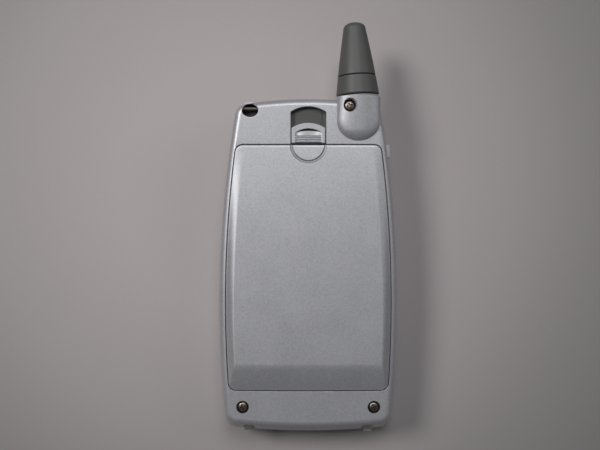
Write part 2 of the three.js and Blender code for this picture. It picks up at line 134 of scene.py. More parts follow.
# Meshes

def lift(points, height):
    return [(x, y, height(x, y) if callable(height) else height) for x, y in points]


def meshFrom(name, points, faces):
    mesh = bpy.data.meshes.new(name)
    mesh.from_pydata([Vector(p) * mm for p in points], [], faces)
    shape = bpy.data.objects.new(name, mesh)
    bpy.context.scene.collection.objects.link(shape)
    return shape


def loft(name, rings):                               # a closed skin over rings of equal length
    count = len(rings[0])
    points = [p for ring in rings for p in ring]
    faces = [list(range(count - 1, -1, -1))]
    for level in range(len(rings) - 1):
        for i in range(count):
            a, b = level * count + i, level * count + (i + 1) % count
            faces.append([a, b, b + count, a + count])
    faces.append(list(range((len(rings) - 1) * count, len(rings) * count)))
    return meshFrom(name, points, faces)


def prism(name, points, low, high):
    return loft(name, [lift(points, low), lift(points, high)])


def lathe(name, profile, sides=64):                  # turned about the local Y axis
    points, rows, faces = [], [], []
    for radius, along in profile:
        if radius < 1e-6:
            rows.append([len(points)] * sides)
            points.append((0, along, 0))
            continue
        rows.append(list(range(len(points), len(points) + sides)))
        for i in range(sides):
            angle = 2 * math.pi * i / sides
            points.append((radius * math.sin(angle), along, radius * math.cos(angle)))
    for one, two in zip(rows, rows[1:]):
        for i in range(sides):
            j = (i + 1) % sides
            face = list(dict.fromkeys([one[i], one[j], two[j], two[i]]))
            if len(face) > 2:
                faces.append(face)
    return meshFrom(name, points, faces)


def closedLathe(name, profile, sides=64):
    shape = lathe(name, profile + profile[:1], sides)
    weld(shape)
    return shape


def weld(shape, distance=1e-7):
    work = bmesh.new()
    work.from_mesh(shape.data)
    bmesh.ops.remove_doubles(work, verts=work.verts, dist=distance)
    bmesh.ops.recalc_face_normals(work, faces=work.faces)
    work.to_mesh(shape.data)
    work.free()


def bake(shape):                                     # the shape with its modifiers, as a plain mesh
    graph = bpy.context.evaluated_depsgraph_get()
    mesh = bpy.data.meshes.new_from_object(shape.evaluated_get(graph))
    shape.modifiers.clear()
    shape.data = mesh
    mesh.name = shape.name
    return shape


def combine(base, *steps):                           # ("UNION" or "DIFFERENCE", shape) in order
    for operation, tool in steps:
        modifier = base.modifiers.new("step", "BOOLEAN")
        modifier.operation = operation
        modifier.solver = "MANIFOLD"
        modifier.object = tool
    bake(base)
    for _, tool in steps:
        bpy.data.objects.remove(tool)
    return base


def join(*shapes):
    return combine(shapes[0], *[("UNION", shape) for shape in shapes[1:]])


def cut(base, *tools):
    return combine(base, *[("DIFFERENCE", tool) for tool in tools])


def place(shape, matrix):
    shape.data.transform(matrix)
    return shape


class Tree:                                          # a Geometry Nodes tree with named inputs
    def __init__(self, name):
        self.group = bpy.data.node_groups.new(name, "GeometryNodeTree")
        for way in ("INPUT", "OUTPUT"):
            self.group.interface.new_socket("Geometry", in_out=way,
                                            socket_type="NodeSocketGeometry")
        self.start = self.group.nodes.new("NodeGroupInput")
        self.end = self.group.nodes.new("NodeGroupOutput")
        self.sites = self.start.outputs[0]
        self.values = {}

    def size(self, name, value, kind="NodeSocketFloat"):
        socket = self.group.interface.new_socket(name, in_out="INPUT", socket_type=kind)
        self.values[socket.identifier] = value
        return self.start.outputs[name]

    def node(self, kind, inputs, output=0):
        made = self.group.nodes.new(kind)
        for key, value in inputs.items():
            if isinstance(value, bpy.types.NodeSocket):
                self.group.links.new(value, made.inputs[key])
            else:
                made.inputs[key].default_value = value
        return made.outputs[output]

    def stand(self, points, thing, scale=(1, 1, 1)):
        return self.node("GeometryNodeInstanceOnPoints",
                         {"Points": points, "Instance": thing, "Scale": scale})

    def grow(self, shape, geometry, finish):         # the result as one plain mesh
        real = self.node("GeometryNodeRealizeInstances", {"Geometry": geometry})
        done = self.node("GeometryNodeSetMaterial", {"Geometry": real, "Material": finish})
        self.group.links.new(done, self.end.inputs[0])
        modifier = shape.modifiers.new("grown", "NODES")
        modifier.node_group = self.group
        for identifier, value in self.values.items():
            modifier[identifier] = value
        return bake(shape)


def settle(shape, body, replaced, finish, sharp=28, weighted=True):
    shape.data.materials.clear()
    for one in (finish if isinstance(finish, list) else [finish]):
        shape.data.materials.append(one)
    shape.data.polygons.foreach_set("use_smooth", [True] * len(shape.data.polygons))
    shape.data.set_sharp_from_angle(angle=math.radians(sharp))
    if weighted:
        modifier = shape.modifiers.new("normals", "WEIGHTED_NORMAL")
        modifier.keep_sharp = True
        modifier.weight = 100
        bake(shape)
    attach(shape, body)
    if replaced:
        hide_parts(*replaced)
    return shape


# Finishes

class Wire:                                          # a node's output, with arithmetic
    def __init__(self, finish, socket):
        self.finish = finish
        self.socket = socket

    def maths(self, operation, one, two):
        return self.finish.node("ShaderNodeMath", {"operation": operation}, {0: one, 1: two})

    def __add__(self, other):
        return self.maths("ADD", self, other)

    __radd__ = __add__

    def __sub__(self, other):
        return self.maths("SUBTRACT", self, other)

    def __rsub__(self, other):
        return self.maths("SUBTRACT", other, self)

    def __mul__(self, other):
        return self.maths("MULTIPLY", self, other)

    __rmul__ = __mul__


class Finish:
    def __init__(self, name):
        self.material = bpy.data.materials.new(name)
        self.material.use_nodes = True
        self.tree = self.material.node_tree
        self.tree.nodes.clear()

    def node(self, kind, settings=None, inputs=None, output=0):
        node = self.tree.nodes.new(kind)
        for name, value in (settings or {}).items():
            if name == "stops":
                ramp = node.color_ramp
                while len(ramp.elements) < len(value):
                    ramp.elements.new(0.5)
                for element, (position, level) in zip(ramp.elements, value):
                    element.position = position
                    element.color = (level, level, level, 1) if isinstance(level, float) else level
            else:
                setattr(node, name, value)
        for name, value in (inputs or {}).items():
            if isinstance(value, Wire):
                self.tree.links.new(value.socket, node.inputs[name])
            else:
                node.inputs[name].default_value = value
        return Wire(self, node.outputs[output])

    def place(self):
        return self.node("ShaderNodeTexCoord", output="Object")

    def noise(self, scale, detail=2.0, roughness=0.5, where=None):
        return self.node("ShaderNodeTexNoise", {}, {"Vector": where or self.place(), "Scale": scale,
                                                    "Detail": detail, "Roughness": roughness})

    def ramp(self, value, *stops):
        return self.node("ShaderNodeValToRGB", {"stops": stops}, {"Fac": value})

    def mix(self, factor, one, two):
        return self.node("ShaderNodeMix", {"data_type": "RGBA"},
                         {"Factor": factor, 6: one, 7: two}, output=2)

    def bump(self, height, strength, distance):
        return self.node("ShaderNodeBump", {}, {"Height": height, "Strength": strength,
                                                "Distance": distance})

    def surface(self, inputs):
        shader = self.node("ShaderNodeBsdfPrincipled", {}, inputs)
        out = self.tree.nodes.new("ShaderNodeOutputMaterial")
        self.tree.links.new(shader.socket, out.inputs["Surface"])
        return self.material


silverPaint = {"light": (0.565, 0.565, 0.592, 1), "dark": (0.40, 0.40, 0.42, 1), "flake": 3300,
               "roughness": 0.46, "metallic": 0.6, "coat": 0.25, "coatRoughness": 0.25}


def makeSilver(name="silverPaint", look=silverPaint):
    finish = Finish(name)
    flakes = finish.node("ShaderNodeTexVoronoi", {"feature": "F1"},
                         {"Vector": finish.place(), "Scale": look["flake"]}, output="Color")
    sparkle = finish.node("ShaderNodeSeparateColor", {}, {"Color": flakes})
    cloud = finish.noise(90, 4.0)
    grain = finish.noise(2600, 3.0)
    tone = sparkle * 0.55 + grain * 0.3 + cloud * 0.35
    colour = finish.mix(tone, look["dark"], look["light"])
    rough = look["roughness"] - 0.03 + cloud * 0.06
    return finish.surface({"Base Color": colour, "Metallic": look["metallic"], "Roughness": rough,
                           "Coat Weight": look["coat"], "Coat Roughness": look["coatRoughness"],
                           "Normal": finish.bump(grain, 0.12, 0.00004)})


def makePlastic(name, light, dark, roughness, grain=3200, strength=0.35, metallic=0.0):
    finish = Finish(name)
    pores = finish.noise(grain, 3.0, 0.6)
    cloud = finish.noise(140, 3.0)
    colour = finish.mix(pores * 0.5 + cloud * 0.5, (*dark, 1), (*light, 1))
    return finish.surface({"Base Color": colour, "Roughness": roughness - 0.05 + cloud * 0.1,
                           "Metallic": metallic, "Normal": finish.bump(pores, strength, 0.00005)})


def makeMetal(name, light, dark, roughness, grain=1800, strength=0.15):
    finish = Finish(name)
    scratch = finish.noise(grain, 4.0, 0.65)
    cloud = finish.noise(260, 3.0)
    colour = finish.mix(scratch * 0.4 + cloud * 0.6, (*dark, 1), (*light, 1))
    return finish.surface({"Base Color": colour, "Roughness": roughness - 0.08 + cloud * 0.16,
                           "Metallic": 1.0, "Normal": finish.bump(scratch, strength, 0.00004)})


def makeGlass(name):
    finish = Finish(name)
    smear = finish.noise(120, 4.0)
    return finish.surface({"Base Color": (0.75, 0.78, 0.76, 1), "Roughness": 0.04 + smear * 0.06,
                           "Transmission Weight": 0.9, "IOR": 1.46})


silver = makeSilver()
# painted shade: a darker copy of the silver paint, put in the groove round the cover's half disc
# where shade falls
paintedShadeSilver = makeSilver("silverInGroove", {**silverPaint, "light": (0.36, 0.36, 0.38, 1),
                                             "dark": (0.27, 0.27, 0.285, 1)})
darkPlastic = makePlastic("darkPlastic", (0.095, 0.096, 0.092), (0.070, 0.071, 0.068), 0.5)
platePlastic = makePlastic("platePlastic", (0.088, 0.090, 0.084), (0.066, 0.068, 0.064), 0.6)
trayPlastic = makePlastic("trayPlastic", (0.10, 0.10, 0.105), (0.075, 0.075, 0.08), 0.55)
keyPlastic = makePlastic("keyPlastic", (0.60, 0.61, 0.64), (0.52, 0.53, 0.56), 0.38, 4200, 0.12)
letterInk = makePlastic("letterInk", (0.05, 0.055, 0.07), (0.04, 0.045, 0.06), 0.5)
greenInk = makePlastic("greenInk", (0.03, 0.30, 0.10), (0.02, 0.24, 0.08), 0.5)
redInk = makePlastic("redInk", (0.45, 0.04, 0.03), (0.38, 0.03, 0.02), 0.5)
# painted shade: a dark brown finish for the strap bar, which sits in the shade of the strap hole
rodShade = makePlastic("rodShade", (0.17, 0.14, 0.125), (0.13, 0.105, 0.095), 0.4)
# painted shade: a near-black finish put on faces inside hollows where shade falls
hollowShade = makePlastic("hollowShade", (0.035, 0.028, 0.024), (0.022, 0.018, 0.016), 0.6)
rubber = makePlastic("rubber", (0.05, 0.05, 0.055), (0.03, 0.03, 0.035), 0.85, 2400, 0.5)
boardMask = makePlastic("boardMask", (0.02, 0.16, 0.07), (0.012, 0.11, 0.05), 0.4, 900, 0.2)
cellWrap = makePlastic("cellWrap", (0.03, 0.08, 0.28), (0.02, 0.06, 0.22), 0.4)
panelFace = makePlastic("panelFace", (0.26, 0.31, 0.20), (0.22, 0.27, 0.17), 0.3, 5200, 0.05)
blackBorder = makePlastic("blackBorder", (0.02, 0.021, 0.024), (0.014, 0.015, 0.017), 0.25, 1500,
                          0.05)
screwMetal = makeMetal("screwMetal", (0.34, 0.29, 0.24), (0.17, 0.14, 0.115), 0.36)
sheetSteel = makeMetal("sheetSteel", (0.62, 0.62, 0.60), (0.5, 0.5, 0.49), 0.36)
wireSteel = makeMetal("wireSteel", (0.66, 0.66, 0.67), (0.5, 0.5, 0.51), 0.28)
gold = makeMetal("gold", (0.80, 0.60, 0.27), (0.62, 0.45, 0.18), 0.3)
contactMetal = makeMetal("contactMetal", (0.70, 0.66, 0.58), (0.55, 0.51, 0.43), 0.32)
windowGlass = makeGlass("windowGlass")
print("finishes made")


# Shared measures of the casing

casing = {"wall": 1.5, "seam": 9.5, "gap": 0.25, "back": 22.4, "slope": 0.0382, "shoulder": 2.2}
seamForm = {"half": 29.0, "top": 51.5, "bottom": 55.3, "corner": 4.0,
            "waist": -13.3, "sideRadius": 356, "topRadius": 136, "bottomRadius": 225}
shoulderForm = {**seamForm, "half": 27.9, "top": 50.9, "bottom": 52.3}
coverForm = {**seamForm, "half": 26.0, "top": 36.65, "bottom": 40.5, "corner": 2.6,
             "sideRadius": 380, "topRadius": 4000, "bottomRadius": 2000}
coverTop = 22.6
pack = {"left": -20.5, "right": 12.0, "bottom": -33.0, "top": 31.8, "base": 12.0, "lid": 20.9}
antenna = {"x": 15.6, "y": 52.0, "z": 19.4, "lean": 3, "rise": 3}
strap = {"x": -18.1, "y": 47.1, "halfX": 2.5, "halfY": 2.0, "depth": 3.4}
sideKey = {"y": 35.3, "z": 13.2, "half": 2.2, "thick": 1.3}
contactX = 19.1
screwSites = {"screw_bottom_left": {"x": -20.6, "y": -45.6, "top": 0, "length": 11.0},
              "screw_bottom_right": {"x": 20.6, "y": -45.6, "top": 0, "length": 11.0},
              "screw_antenna": {"x": 12.7, "y": 48.3, "top": 2.3, "length": 5.0}}
screwSink = 1.7

antennaSeat = (Matrix.Translation(Vector((antenna["x"], antenna["y"], antenna["z"])) * mm)
               @ Matrix.Rotation(math.radians(antenna["rise"]), 4, "X")
               @ Matrix.Rotation(math.radians(antenna["lean"]), 4, "Z"))


def backAt(y):
    return casing["back"] + casing["slope"] * (y - 36)


def offBack(distance):
    return lambda x, y: backAt(y) + distance


def onBack(name, points, low, high):
    return loft(name, [lift(points, offBack(low)), lift(points, offBack(high))])


def mouth(name, points, low, high, lip=0.22, top=0.0):      # a cutter with a rounded rim
    rings = [lift(points, offBack(low))]
    for angle in (0, 30, 60, 90):
        out = lip * (1 - math.cos(math.radians(angle)))
        rise = lip * (math.sin(math.radians(angle)) - 1)
        rings.append(lift(spread(points, out), offBack(top + rise)))
    rings.append(lift(spread(points, lip), offBack(high)))
    return loft(name, rings)


# Rear casing

boss = {"end": 37.8, "half": 6.8, "round": 6.2, "ease": 3.2, "step": 1.9, "climb": 0.095,
        "stations": 40, "ring": 6.7}
slot = {"half": 5.5, "side": 46.6, "middle": 48.3}


def rearSkin():
    lip = 0.2
    base = casing["seam"] + casing["gap"] / 2
    rings = [lift(outline(shrink(seamForm, lip)), base),
             lift(outline(shrink(seamForm, lip * 0.3)), base + lip * 0.3),
             lift(outline(seamForm), base + lip)]
    for degrees in range(0, 91, 9):
        angle = math.radians(degrees)
        inset = casing["shoulder"] * (1 - math.cos(angle))
        drop = casing["shoulder"] * (1 - math.sin(angle))
        rings.append(lift(outline(shrink(shoulderForm, inset)), offBack(-drop)))
    return loft("rear_casing", rings)


def rearCavity():
    wall = casing["wall"]
    return loft("cavity", [
        lift(outline(shrink(seamForm, wall)), casing["seam"] - 1),
        lift(outline(shrink(shoulderForm, wall)), offBack(-casing["shoulder"] - 1)),
        lift(outline(shrink(shoulderForm, wall + 0.6)), offBack(-wall))])


def bossArch():
    length = antenna["y"] - boss["end"] - 0.8
    rings = []
    for i in range(boss["stations"]):
        along = 0.02 + (length - 0.02) * (i / (boss["stations"] - 1)) ** 1.7
        y = boss["end"] + along
        reach = 1 - min(along / boss["round"], 1)
        half = boss["half"] * math.sqrt(1 - reach ** 2)
        ease = math.sqrt(1 - (1 - min(along / boss["ease"], 1)) ** 2)
        crown = (boss["step"] + boss["climb"] * along) * ease
        arch = arc((0, 0), 1, math.pi, 0, 40)
        ring = [(antenna["x"] + half * x, y, backAt(y) + crown * z) for x, z in arch]
        low = backAt(y) - 2.5
        rings.append(ring + [(antenna["x"] + half, y, low), (antenna["x"] - half, y, low)])
    return loft("arch", rings)


def bossBlock():
    ring = boss["ring"]
    profile = [(0, -12.5), (3.6, -12.5), (ring, -0.25), (ring - 0.1, -0.05), (ring - 0.3, 0),
               (0, 0)]
    return place(lathe("block", profile, 96), antennaSeat)


def bayTub():
    left, right = pack["left"] - 0.6, pack["right"] + 0.6
    bottom, top = pack["bottom"] - 1.0, pack["top"] + 1.0
    floor = pack["base"] - 0.4
    outer = roundedBox(left - 1.2, right + 1.2, bottom - 1.2, top + 1.2, 1.6)
    inner = roundedBox(left, right, bottom, top, 0.6)
    return prism("tub", outer, floor - 1.2, 24), prism("bay", inner, floor, 30)


def screwHole(site):
    top = backAt(site["y"]) + site["top"]
    floor = top - screwSink
    end = floor - site["length"] - 0.5 if site["top"] else 0
    shaft = prism("shaft", ellipse(site["x"], site["y"], 0.95, 0.95, 32), end, floor + 0.1)
    ring = ellipse(site["x"], site["y"], 1.9, 1.9, 64)
    levels = [(0, floor), (0, top - 0.3), (0.06, top - 0.12), (0.2, top + 0.02), (0.3, top + 0.4),
              (0.3, top + 4)]
    bore = loft("bore", [lift(spread(ring, out), height) for out, height in levels])
    return [shaft, bore]


strapRod = {"up": 0.75, "deep": 1.5, "radius": 0.42}


def strapBar():                                      # the rod that the strap loops round
    rings = []
    for along in (strap["x"] - strap["halfX"] - 0.3, strap["x"] + strap["halfX"] + 0.3):
        y = strap["y"] + strapRod["up"]
        height = backAt(y) - strapRod["deep"]
        rings.append([(along, y + strapRod["radius"] * math.cos(a),
                       height + strapRod["radius"] * math.sin(a))
                      for a in [2 * math.pi * k / 24 for k in range(24)]])
    return loft("bar", rings)


def rearCase():
    tub, bay = bayTub()
    wall = casing["wall"]
    ledge = onBack("ledge", outline(shrink(coverForm, -1.2)), -3.3, -1.2)
    posts = [prism("post", ellipse(site["x"], site["y"], 2.7, 2.7, 40), casing["seam"] + 0.4,
                   backAt(site["y"]) - 0.8) for site in screwSites.values() if not site["top"]]
    rim = ellipse(strap["x"], strap["y"], strap["halfX"] + 0.8, strap["halfY"] + 0.8)
    cup = onBack("cup", rim, -strap["depth"] - 0.8, -wall + 0.3)
    shape = cut(rearSkin(), rearCavity())
    shape = join(shape, ledge, tub, *posts, cup, bossArch(), bossBlock())
    channel = place(prism("channel", rectangle(-2.5, 2.5, -86, -15.9), -2.5, 8), antennaSeat)
    tube = place(lathe("tubeHole", [(0, -30), (2.4, -30), (2.4, 4), (0, 4)], 40), antennaSeat)
    slotEdge = arched(slot["half"], slot["side"], slot["middle"], coverForm["top"] - 0.5)
    keyHole = prism("keyHole", rectangle(22, 28, sideKey["y"] - sideKey["half"] - 0.25,
                    sideKey["y"] + sideKey["half"] + 0.25), sideKey["z"] - sideKey["thick"] - 0.25,
                    sideKey["z"] + sideKey["thick"] + 0.25)
    contacts = [prism("contactHole", rectangle(x - 1.6, x + 1.6, -57, -50), 10.4, 14.6)
                for x in (-contactX, contactX)]
    terminal = prism("terminalHole", rectangle(-6.35, 2.35, -32.25, -28.55), 9, 14)
    strapMouth = ellipse(strap["x"], strap["y"], strap["halfX"], strap["halfY"])
    holes = [tool for site in screwSites.values() for tool in screwHole(site)]
    shape = cut(shape, mouth("opening", outline(coverForm), -1.9, 6, 0.2), bay, channel, tube,
                mouth("slotHole", slotEdge, -4, 4, 0.14), keyHole, *contacts, terminal,
                mouth("strapMouth", strapMouth, -strap["depth"], 3, 0.3), *holes)
    shape = join(shape, strapBar())
    settle(shape, "case", ["rear_case"], [silver, hollowShade, rodShade])
    for polygon in shape.data.polygons:
        x, y, z = (v / mm for v in polygon.center)
        reach = math.hypot((x - strap["x"]) / strap["halfX"], (y - strap["y"]) / strap["halfY"])
        bar = math.hypot(y - strap["y"] - strapRod["up"], z - backAt(y) + strapRod["deep"])
        # painted shade: faces inside the strap hole get the near-black painted-shade finish, the
        # bar across it the dark brown painted-shade finish
        if reach < 1.03 and z < backAt(y) - 0.5:
            polygon.material_index = 2 if bar < strapRod["radius"] + 0.1 else 1
        # painted shade: the walls and floor of each screw bore get the near-black painted-shade
        # finish
        for site in screwSites.values():
            reach = math.hypot(x - site["x"], y - site["y"])
            if reach < 1.93 and 14 < z < backAt(site["y"]) + site["top"] - 0.42:
                polygon.material_index = 1


rearCase()
print("rear casing made")


# Battery cover

coverLook = {"edge": 1.6, "side": 2.5, "foot": 7.4, "head": 0.35, "crest": 1.6, "lip": 0.3,
             "lipHead": 0.12, "lipFoot": 0.32, "ring": 5.3, "ringHalf": 0.5, "ringDepth": 0.3,
             "soft": 0.4}


def lipAt(y):                                        # the cover's edge stands proud at the foot
    share = min(max((10 - y) / 45, 0), 1)
    return coverLook["lipHead"] + (coverLook["lipFoot"] - coverLook["lipHead"]) * share


def coverSurface(form):
    footY = -form["bottom"]
    footZ = backAt(footY) + lipAt(footY)
    soft = coverLook["soft"]

    def height(x, y, climb):
        base = backAt(y) + lipAt(y)
        full = base + (coverTop - base) * climb
        facet = footZ + (coverTop - footZ) * (y - footY) / coverLook["foot"]
        near = max(1 - abs(full - facet) / soft, 0)
        return max(min(full, facet) - near * near * soft / 4, base)
    return height


def batteryCover():
    edge = shrink(coverForm, casing["gap"])
    height = coverSurface(edge)
    rings = [lift(outline(edge), offBack(-coverLook["edge"]))]
    lip = coverLook["lip"]
    for degrees in (0, 22, 45, 68):
        angle = math.radians(degrees)
        form = shrink(edge, lip * (1 - math.cos(angle)))
        rings.append(lift(outline(form), lambda x, y, s=math.sin(angle):
                          backAt(y) + lipAt(y) - (lipAt(y) + 0.15) * (1 - s)))
    for step in range(17):
        run = (step / 16) ** 0.8
        climb = 1 - (1 - run) ** coverLook["crest"]
        form = shrink(edge, lip + coverLook["side"] * run, lip + coverLook["head"] * run,
                      lip + (coverLook["foot"] + 1.4 - lip) * run)
        rings.append(lift(outline(form), lambda x, y, c=climb: height(x, y, c)))
    skin = loft("battery_cover_shell", rings)
    under = loft("under", [
        lift(outline(shrink(edge, 2.0, 2.0, 3.0)), offBack(-coverLook["edge"] - 1)),
        lift(outline(shrink(edge, 2.3, 2.2, 6.8)), 21.2)])
    middle, half, deep = (coverLook[k] for k in ("ring", "ringHalf", "ringDepth"))
    groove = [(middle + half * t, -deep * (1 - abs(t) ** 2.5))
              for t in [k / 6 - 1 for k in range(13)]]
    ring = closedLathe("ring", groove + [(middle + half, 0.6), (middle - half, 0.6)], 160)
    place(ring, Matrix.Rotation(math.pi / 2, 4, "X"))
    place(ring, Matrix.Translation(Vector((0, edge["top"] + 0.1, coverTop)) * mm))
    shape = cut(skin, under, ring)
    settle(shape, "battery_pack", ["battery_cover"], [silver, paintedShadeSilver])
    # painted shade: faces in the groove round the half disc get the darker painted-shade copy of
    # the silver paint
    for polygon in shape.data.polygons:
        x, y, z = (v / mm for v in polygon.center)
        reach = math.hypot(x, y - edge["top"] - 0.1) - middle
        if abs(reach) < half * 0.93 and z > coverTop - deep - 0.1:
            polygon.material_index = 1


batteryCover()


def batteryTray():
    left, right, bottom, top = (pack[k] for k in ("left", "right", "bottom", "top"))
    base = pack["base"]
    outer = [lift(roundedBox(left + 0.3, right - 0.3, bottom + 0.3, top - 0.3, 0.6), base),
             lift(roundedBox(left, right, bottom, top, 0.8), base + 0.3),
             lift(roundedBox(left, right, bottom, top, 0.8), pack["lid"])]
    skin = loft("battery_tray_shell", outer)
    hollow = prism("hollow", roundedBox(left + 0.8, right - 0.8, bottom + 0.8, top - 0.8, 0.4),
                   base + 0.8, pack["lid"] + 1)
    panel = prism("panel", roundedBox(left + 4, right - 4, bottom + 14, top - 5, 1.2), base - 1,
                  base + 0.2)
    pads = [prism("pad", roundedBox(x - 1.1, x + 1.1, -31.7, -29.1, 0.2), base - 1, base + 0.25)
            for x in (-4.9, -2.0, 0.9)]
    settle(cut(skin, hollow, panel, *pads), "battery_pack", ["battery_tray"],
           trayPlastic)
    batteryContacts(base)


def batteryContacts(base):
    strip = loft("contact_strip", [lift(roundedBox(-0.9, 0.9, -1.1, 1.1, 0.2), z)
                                   for z in (0.08, 0.24)])
    contacts = meshFrom("battery_contacts", [(0, 0, 0)], [])
    tree = Tree("contacts")
    row = tree.node("GeometryNodeMeshLine", {
        "Count": tree.size("Count", 3, "NodeSocketInt"),
        "Start Location": tree.size("First", (-4.9 * mm, -30.4 * mm, base * mm),
                                    "NodeSocketVector"),
        "Offset": tree.size("Pitch", (2.9 * mm, 0, 0), "NodeSocketVector")})
    shape = tree.size("Strip", strip, "NodeSocketObject")
    tree.grow(contacts, tree.stand(row, tree.node("GeometryNodeObjectInfo", {"Object": shape},
                                                  "Geometry")), gold)
    bpy.data.objects.remove(strip)
    settle(contacts, "battery_pack", [], gold)


batteryTray()
print("battery pack made")


# Latch

latchLook = {"half": 5.25, "side": 41.6, "middle": 43.2, "start": 36.9, "rim": 0.3, "scoop": 4.15,
             "crest": 41.5, "crestDrop": 1.35, "wall": 0.7, "deep": 0.8, "ribStart": 39.35,
             "ribPitch": 0.78, "ribHeight": 0.3, "lip": 37.25}


def thumbHeight(x, y):                               # of the thumb piece above the sloping back
    look = latchLook
    u = min(abs(x) / look["scoop"], 1)
    level = look["rim"]
    bowl = 1 - u ** 2
    crest = look["crest"] - look["crestDrop"] * u ** 2
    foot = crest - look["wall"] * bowl
    if bowl > 0.001 and y < crest:
        if y > foot:
            t = (crest - y) / (crest - foot)
            level -= look["deep"] * bowl * t * t * (3 - 2 * t)
        else:
            fall = max(0, min(1, (y - look["ribStart"]) / (foot - look["ribStart"])))
            level -= bowl * look["deep"] * fall + 0.2 * min(1, bowl * 6) * (1 - fall)
    if y < look["ribStart"] and u < 0.999:
        turn = (look["ribStart"] - y) / look["ribPitch"] % 1
        wave = turn / 0.68 if turn < 0.68 else (1 - turn) / 0.32
        level += look["ribHeight"] * (wave - 0.5) * min(1, bowl * 7)
    if y < look["lip"]:
        level -= 0.9 * (look["lip"] - y) / (look["lip"] - look["start"]) * min(1, bowl * 7)
    return level


def latchSlider():
    half, start = latchLook["half"], latchLook["start"]
    rise = latchLook["middle"] - latchLook["side"]
    radius = (half ** 2 + rise ** 2) / (2 * rise)
    across, along = 92, 96
    top = []
    for j in range(along + 1):
        row = []
        for i in range(across + 1):
            x = half * (2 * i / across - 1)
            far = latchLook["middle"] - radius + math.sqrt(radius ** 2 - x ** 2)
            y = start + (far - start) * j / along
            near = min(half - abs(x), far - y, y - start)
            soft = 0.16 * max(0, 1 - near / 0.16) ** 2
            row.append((x, y, backAt(y) + thumbHeight(x, y) - soft))
        top.append(row)
    width = across + 1
    points = [p for row in top for p in row]
    faces = [[j * width + i, j * width + i + 1, (j + 1) * width + i + 1, (j + 1) * width + i]
             for j in range(along) for i in range(across)]
    border = ([i for i in range(width)] + [j * width + across for j in range(1, along + 1)]
              + [along * width + i for i in range(across - 1, -1, -1)]
              + [j * width for j in range(along - 1, 0, -1)])
    base = len(points)
    points += [(points[k][0], points[k][1], backAt(points[k][1]) - 1.5) for k in border]
    count = len(border)
    faces += [[border[k], base + k, base + (k + 1) % count, border[(k + 1) % count]]
              for k in range(count)]
    faces.append([base + k for k in range(count - 1, -1, -1)])
    plate = meshFrom("latch_thumb_piece", points, faces)
    weld(plate)
    stem = onBack("stem", rectangle(-0.9, 0.9, 38.3, 39.6), -4.8, -1.2)
    shape = join(plate, stem)
    settle(shape, "latch", ["latch_slider"], [silver, hollowShade])
    # painted shade: faces of the steep wall under the crest of the thumb scoop get the near-black
    # painted-shade finish
    for polygon in shape.data.polygons:
        x, y, z = (v / mm for v in polygon.center)
        bowl = 1 - min(abs(x) / latchLook["scoop"], 1) ** 2
        crest = latchLook["crest"] - latchLook["crestDrop"] * (1 - bowl)
        if z > backAt(y) - 1.0 and crest - latchLook["wall"] * bowl < y < crest - 0.03:
            polygon.material_index = 1


def latchPlate():
    plate = onBack("latch_bed", rectangle(-7, 7, 37.9, 48.6), -2.9, -1.8)
    slit = onBack("slit", rectangle(-1.2, 1.2, 36, 42.9), -4, 0)
    post = onBack("post", rectangle(-1.6, 1.6, 47.7, 48.5), -5.2, -2.5)
    rails = [onBack("rail", rectangle(x - 0.14, x + 0.14, 37, 49), -2.05, 0) for x in (-4.3, 4.3)]
    shape = combine(plate, ("DIFFERENCE", slit), ("UNION", post),
                    *[("DIFFERENCE", rail) for rail in rails])
    settle(shape, "case", ["latch_plate"], platePlastic)


springLook = {"radius": 0.9, "wire": 0.22, "turns": 6.0, "length": 7.3, "start": 40.1, "below": 4.1,
              "squashed": 0.6}


def latchSpring():                                   # a coil spring built once at its full length; the real one shortens as the thumb piece is pushed
    spring = meshFrom("latch_coil_spring", [(0, 0, 0)], [])
    tree = Tree("coil")
    radius = tree.size("Radius", springLook["radius"] * mm)
    path = tree.node("GeometryNodeCurveSpiral", {
        "Resolution": 24, "Rotations": tree.size("Turns", springLook["turns"]),
        "Start Radius": radius, "End Radius": radius,
        "Height": tree.size("Length", springLook["length"] * mm)})
    wire = tree.node("GeometryNodeCurvePrimitiveCircle", {
        "Resolution": 12, "Radius": tree.size("Wire radius", springLook["wire"] * mm)})
    tube = tree.node("GeometryNodeCurveToMesh", {"Curve": path, "Profile Curve": wire,
                                                 "Fill Caps": True})
    tree.grow(spring, tube, wireSteel)
    lean = math.atan(casing["slope"])
    start = Vector((0, springLook["start"], backAt(springLook["start"]) - springLook["below"]))
    place(spring, Matrix.Translation(start * mm) @ Matrix.Rotation(lean - math.pi / 2, 4, "X"))
    settle(spring, "case", ["latch_spring"], wireSteel, sharp=60)
    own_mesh(spring)


latchSlider()
latchPlate()
latchSpring()
print("latch made")


# Antenna

def antennaCollar():
    profile = [(1.6, -2.0), (2.1, -2.0), (2.1, 0.3), (6.3, 0.3), (6.62, 0.42), (6.74, 0.7),
               (6.62, 1.6), (6.0, 6.0), (5.93, 6.14), (5.78, 6.2), (1.6, 6.2)]
    shape = place(closedLathe("antenna_ring", profile, 96), antennaSeat)
    settle(shape, "case", ["antenna_collar"], darkPlastic)


def antennaCap():
    start = 6.45
    wall = [(1.35, 18.0), (2.9, 18.0), (2.9, start), (5.7, start), (5.86, start + 0.06),
            (5.9, start + 0.25)]
    side = [(5.9 - 2.4 * t ** 1.08, start + 0.25 + (21.0 - start - 0.25) * t)
            for t in [k / 10 for k in range(1, 11)]]
    tip = [(3.5 * math.cos(a) ** 0.75, 21.0 + 2.0 * math.sin(a))
           for a in [math.pi / 2 * k / 12 for k in range(1, 12)]]
    profile = [(0, 19.8), (1.35, 19.8)] + wall + side + tip + [(0, 23.0)]
    shape = place(lathe("antenna_tip", profile, 96), antennaSeat)
    weld(shape)
    settle(shape, "antenna", ["antenna_cap"], darkPlastic)


